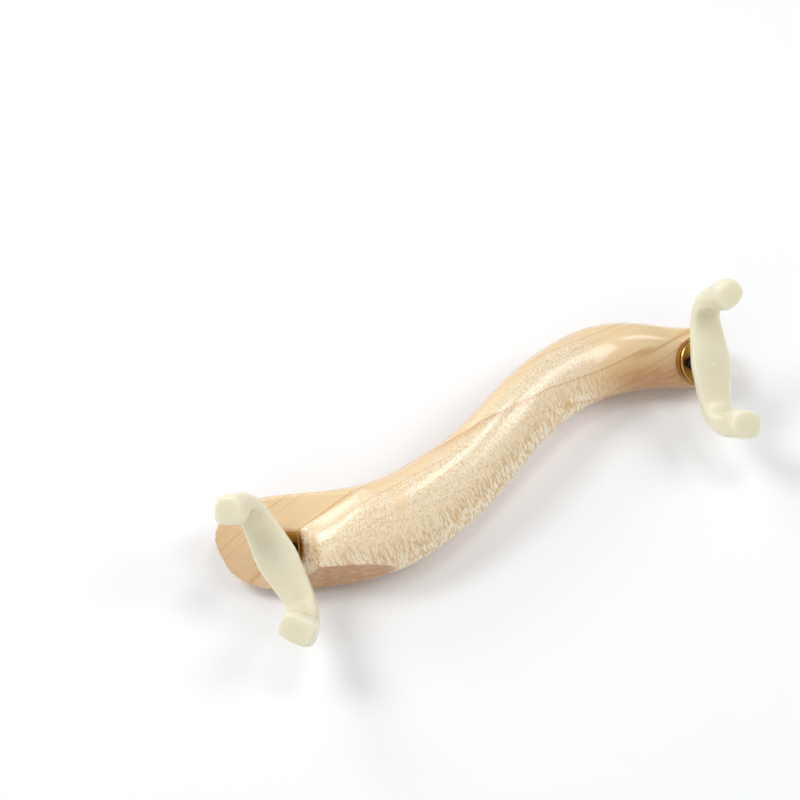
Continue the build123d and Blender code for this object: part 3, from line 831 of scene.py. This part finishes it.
class SHOULDER_REST_OT_forks(bpy.types.Operator):
    """Makes the rubber forks with their hubs"""
    bl_idname = "shoulder_rest.forks"
    bl_label = "Forks"

    def execute(self, context):
        settings = context.scene.rest_forks
        rubber = milky_rubber(settings)
        nylon = moulded_nylon(settings)
        for side, data in SIDES.items():
            place = seat_matrix(side, data["fork_turn"])
            bm = with_modifier(swept_fork(side), "SUBSURF", levels=2, render_levels=2)
            press_dimple(bm, CROSSPIECE_SHIFT[side], settings.dimple)
            finish_piece(bm, f"{side}_rubber_fork", place, rubber, f"{side}_fork",
                         [f"{side}_fork_rubber"])
            finish_piece(hub_boss(HUB_TOP, HUB_BOTTOM), f"{side}_nylon_hub", place, nylon, f"{side}_fork",
                         [f"{side}_fork_hub"], smooth_angle=40)
            core = need_node(f"{side}_fork_core")
            core.data.materials.clear()
            core.data.materials.append(nylon)
        return {"FINISHED"}


# ---------------------------------------------------------------------------
# Stage
# ---------------------------------------------------------------------------
# Lamps: (name, direction to the lamp, distance, size, share of a white surface's light).
LAMPS = (
    ("key_right", (0.61, -0.28, 0.74), 1.1, 0.42, 0.26),
    ("key_left", (-0.449, 0.426, 0.785), 1.1, 0.40, 0.32),
    ("overhead", (0.27, 0.04, 0.96), 1.2, 0.28, 0.12),
    ("rear", (-0.21, 0.85, 0.485), 1.1, 0.32, 0.18),
    ("fill_left", (-0.62, -0.48, 0.62), 1.2, 0.60, 0.11),
)
SKY_LEVEL = 0.39
# Direction of the dark side of the room, which the disc mirrors.
DARK_SIDE = (0.975, -0.22, 0.0)


def lamp_power(share, distance):
    """Power in watts at which a lamp gives a facing white surface this share of full white."""
    return share * (math.pi * distance) ** 2


def add_lamps():
    """Soft studio lamps aimed at the rest."""
    for name, direction, distance, size, share in LAMPS:
        light = bpy.data.lights.new(name, "AREA")
        light.size = size
        light.energy = lamp_power(share, distance)
        lamp = bpy.data.objects.new(name, light)
        towards = Vector(direction).normalized()
        lamp.location = towards * distance
        lamp.rotation_euler = towards.to_track_quat("Z", "Y").to_euler()
        bpy.context.scene.collection.objects.link(lamp)


def add_sky():
    """Even soft light; gloss sees a white wall on one side and a dark room on the other."""
    world = bpy.data.worlds.new("studio")
    world.use_nodes = True
    tree = world.node_tree
    tree.nodes.clear()
    output = add_node(tree, "ShaderNodeOutputWorld")
    path = add_node(tree, "ShaderNodeLightPath")
    direction = add_node(tree, "ShaderNodeTexCoord").outputs["Generated"]
    side = add_node(tree, "ShaderNodeVectorMath", {0: direction, 1: DARK_SIDE}, operation="DOT_PRODUCT")
    level = add_node(tree, "ShaderNodeMapRange", {"Value": side.outputs["Value"], "From Min": -1.0,
                                                  "From Max": 1.0, "To Min": 1.0, "To Max": 0.04})
    room = add_node(tree, "ShaderNodeBackground", {"Color": (1, 1, 1, 1),
                                                   "Strength": level.outputs["Result"]})
    light = add_node(tree, "ShaderNodeBackground", {"Color": (1, 1, 1, 1), "Strength": SKY_LEVEL})
    white = add_node(tree, "ShaderNodeBackground", {"Color": (1, 1, 1, 1), "Strength": 1.0})
    soft = add_node(tree, "ShaderNodeMixShader", {0: path.outputs["Is Glossy Ray"],
                                                  1: light.outputs["Background"],
                                                  2: room.outputs["Background"]})
    seen = add_node(tree, "ShaderNodeMath", {0: path.outputs["Is Camera Ray"],
                                             1: path.outputs["Is Transmission Ray"]}, operation="MAXIMUM")
    mix = add_node(tree, "ShaderNodeMixShader", {0: seen.outputs["Value"], 1: soft.outputs["Shader"],
                                                 2: white.outputs["Background"]})
    tree.links.new(mix.outputs["Shader"], output.inputs["Surface"])
    bpy.context.scene.world = world


def add_camera(settings):
    """Camera round the target at the chosen azimuth, elevation and roll."""
    flat = math.cos(settings.elevation)
    back = Vector((math.sin(settings.azimuth) * flat, -math.cos(settings.azimuth) * flat,
                   math.sin(settings.elevation)))
    data = bpy.data.cameras.new("camera")
    data.lens = settings.lens
    data.sensor_width = 36.0
    camera = bpy.data.objects.new("camera", data)
    camera.location = Vector(settings.target) + back * settings.distance
    camera.rotation_mode = "QUATERNION"
    camera.rotation_quaternion = (-back).to_track_quat("-Z", "Y") @ Quaternion((0, 0, 1), settings.roll)
    bpy.context.scene.collection.objects.link(camera)
    bpy.context.scene.camera = camera


class SHOULDER_REST_OT_stage(bpy.types.Operator):
    """Sets up the floor, the lamps and the camera"""
    bl_idname = "shoulder_rest.stage"
    bl_label = "Stage"

    def execute(self, context):
        settings = context.scene.rest_stage
        bm = bmesh.new()
        bmesh.ops.create_grid(bm, x_segments=1, y_segments=1, size=3.0)
        mesh = bpy.data.meshes.new("floor")
        bm.to_mesh(mesh)
        bm.free()
        mesh.materials.append(matt_paper(settings))
        floor = bpy.data.objects.new("floor", mesh)
        context.scene.collection.objects.link(floor)
        add_lamps()
        add_sky()
        add_camera(settings)
        context.scene.view_settings.view_transform = "Standard"
        return {"FINISHED"}


# ---------------------------------------------------------------------------
# Add-on
# ---------------------------------------------------------------------------
class SHOULDER_REST_PT_panel(bpy.types.Panel):
    """Lists the pieces and their settings"""
    bl_label = "Shoulder rest"
    bl_idname = "SHOULDER_REST_PT_panel"
    bl_space_type = "VIEW_3D"
    bl_region_type = "UI"
    bl_category = "Shoulder rest"

    def draw(self, context):
        for name, operators in PANEL_ROWS:
            box = self.layout.box()
            for operator in operators:
                box.operator(operator)
            group = getattr(context.scene, name)
            for key in group.__annotations__:
                box.prop(group, key)


PANEL_ROWS = (
    ("rest_body", ("shoulder_rest.body",)),
    ("rest_fittings", ("shoulder_rest.fittings", "shoulder_rest.studs")),
    ("rest_forks", ("shoulder_rest.forks",)),
    ("rest_stage", ("shoulder_rest.stage",)),
)
GROUPS = {
    "rest_body": BodySettings,
    "rest_fittings": FittingSettings,
    "rest_forks": ForkSettings,
    "rest_stage": StageSettings,
}
OPERATORS = (
    SHOULDER_REST_OT_body,
    SHOULDER_REST_OT_fittings,
    SHOULDER_REST_OT_studs,
    SHOULDER_REST_OT_forks,
    SHOULDER_REST_OT_stage,
)


def register():
    for name, group in GROUPS.items():
        bpy.utils.register_class(group)
        setattr(bpy.types.Scene, name, PointerProperty(type=group))
    for cls in (*OPERATORS, SHOULDER_REST_PT_panel):
        bpy.utils.register_class(cls)


def unregister():
    for cls in (SHOULDER_REST_PT_panel, *reversed(OPERATORS)):
        bpy.utils.unregister_class(cls)
    for name, group in reversed(GROUPS.items()):
        delattr(bpy.types.Scene, name)
        bpy.utils.unregister_class(group)


def main():
    """Makes the whole rest."""
    register()
    bpy.ops.shoulder_rest.body()
    bpy.ops.shoulder_rest.fittings()
    bpy.ops.shoulder_rest.studs()
    bpy.ops.shoulder_rest.forks()
    bpy.ops.shoulder_rest.stage()


if __name__ == "__main__":
    main()
